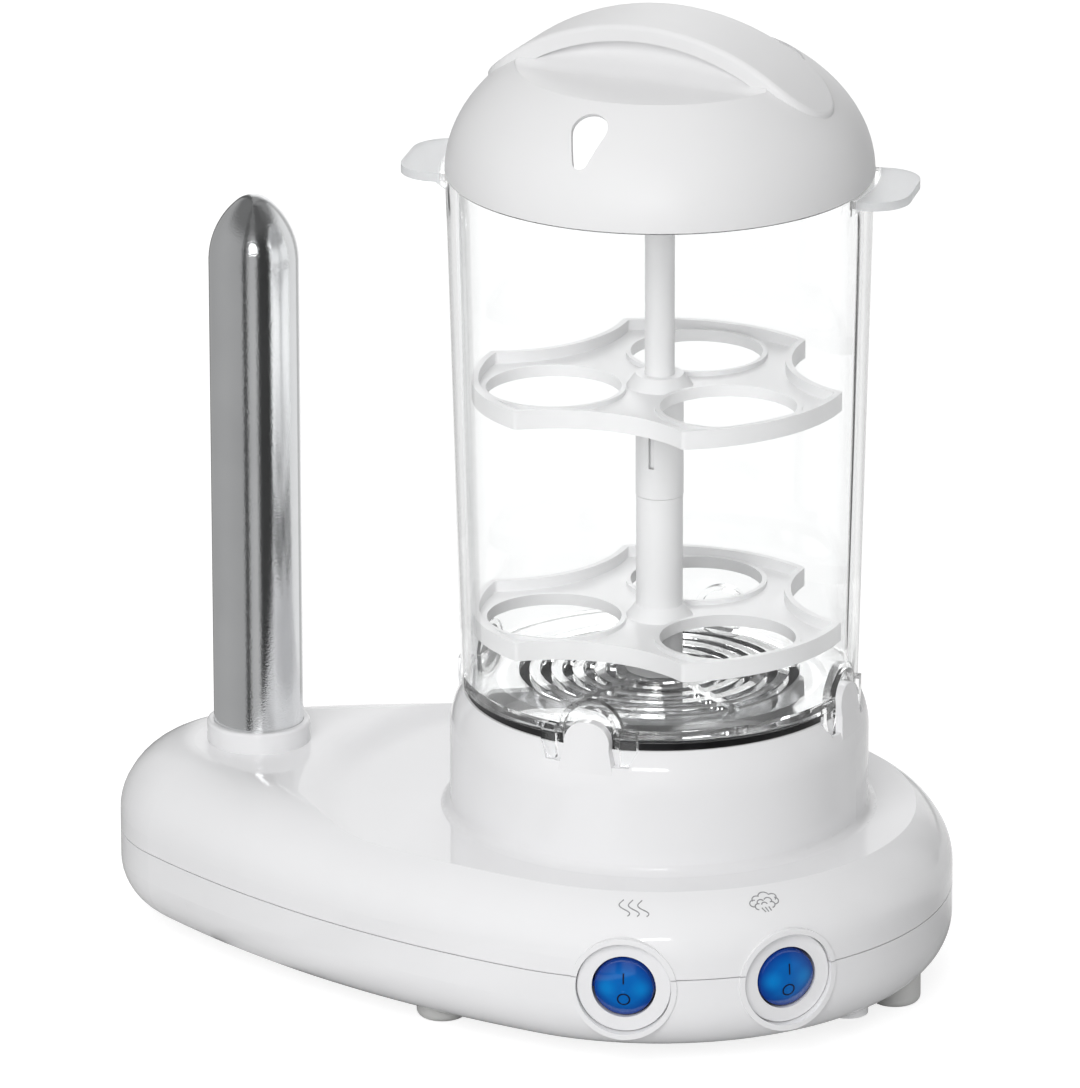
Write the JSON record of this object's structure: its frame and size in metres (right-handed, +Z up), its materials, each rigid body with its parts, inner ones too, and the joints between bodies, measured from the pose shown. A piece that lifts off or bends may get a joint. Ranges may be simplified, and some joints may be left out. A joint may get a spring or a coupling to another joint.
{
  "type": "hot dog and egg cooker",
  "caption": "Table-top hot dog and egg cooker: white teardrop base with a steel warming spike, a clear steam container of egg trays, a domed lid and round rocker switches.",
  "frame": {"origin": "middle of the overall box, on the surface the four feet stand on", "axes": "+Z up, -Y the front with the switches, -X towards the warming spike, +X towards the container"},
  "size_m": [0.235, 0.1594, 0.27],
  "materials": {
    "housing": "glossy moulded white",
    "lid_plastic": "glossy moulded white",
    "tray_plastic": "satin moulded white",
    "clear_plastic": "clear, polished",
    "polished_steel": "polished with fine upright brushing",
    "dish_steel": "pressed and satin",
    "screw_steel": "zinc plated",
    "element_metal": "dull, heat stained",
    "core_metal": "as cast",
    "terminal_brass": "plain",
    "black_plastic": "moulded",
    "sleeve": "heat-proof, dull",
    "seal_rubber": "smooth",
    "rubber": "soft, dull white",
    "blue_plastic": "translucent, glossy",
    "lamp_glass": "clear"
  },
  "bodies": {
    "base": {"upper_housing": "housing", "lower_housing": "housing", "feet": "rubber", "housing_screws": "screw_steel", "heating_plate": "dish_steel", "plate_seal": "seal_rubber", "heating_element": "element_metal", "element_clamp": "screw_steel", "clamp_screws": "screw_steel", "thermostat": "black_plastic", "thermal_fuse": "sleeve", "spike_tube": "polished_steel", "spike_collar": "housing", "spike_heater": "core_metal", "spike_bracket": "screw_steel", "bracket_screws": "screw_steel", "terminal_block": "sleeve", "terminal_screws": "terminal_brass", "cord_gland": "rubber", "switch_frame_left": "housing", "switch_frame_right": "housing", "switch_terminals_left": "black_plastic", "switch_terminals_right": "black_plastic", "switch_lamp_left": "lamp_glass", "switch_lamp_right": "lamp_glass"},
    "container": {"container": "clear_plastic"},
    "lid": {"lid": "lid_plastic"},
    "lower_tray": {"lower_tray": "tray_plastic"},
    "upper_tray": {"upper_tray": "tray_plastic", "rack_handle": "tray_plastic"},
    "rocker_left": {"rocker_left": "blue_plastic"},
    "rocker_right": {"rocker_right": "blue_plastic"}
  },
  "joints": [
    {"name": "container_lift", "type": "slide", "parent": "base", "child": "container", "axis": [0, 0, 1], "range_m": [0, 0.12]},
    {"name": "lid_lift", "type": "slide", "parent": "container", "child": "lid", "axis": [0, 0, 1], "range_m": [0, 0.2]},
    {"name": "lower_tray_lift", "type": "slide", "parent": "container", "child": "lower_tray", "axis": [0, 0, 1], "range_m": [0, 0.151]},
    {"name": "upper_tray_lift", "type": "slide", "parent": "lower_tray", "child": "upper_tray", "axis": [0, 0, 1], "range_m": [0, 0.041]},
    {"name": "rocker_left_tilt", "type": "hinge", "parent": "base", "child": "rocker_left", "pos_m": [0.05594, -0.0729, 0.0243], "axis": [-0.9707, -0.2402, 0], "range_deg": [0, 12]},
    {"name": "rocker_right_tilt", "type": "hinge", "parent": "base", "child": "rocker_right", "pos_m": [0.09247, -0.0516, 0.0243], "axis": [-0.6871, -0.7266, 0], "range_deg": [0, 12]}
  ],
  "couplings": [
    {"joint": "lower_tray_lift", "follows": "lid_lift", "ratio": 0.75},
    {"joint": "upper_tray_lift", "follows": "lid_lift", "ratio": 0.2}
  ]
}
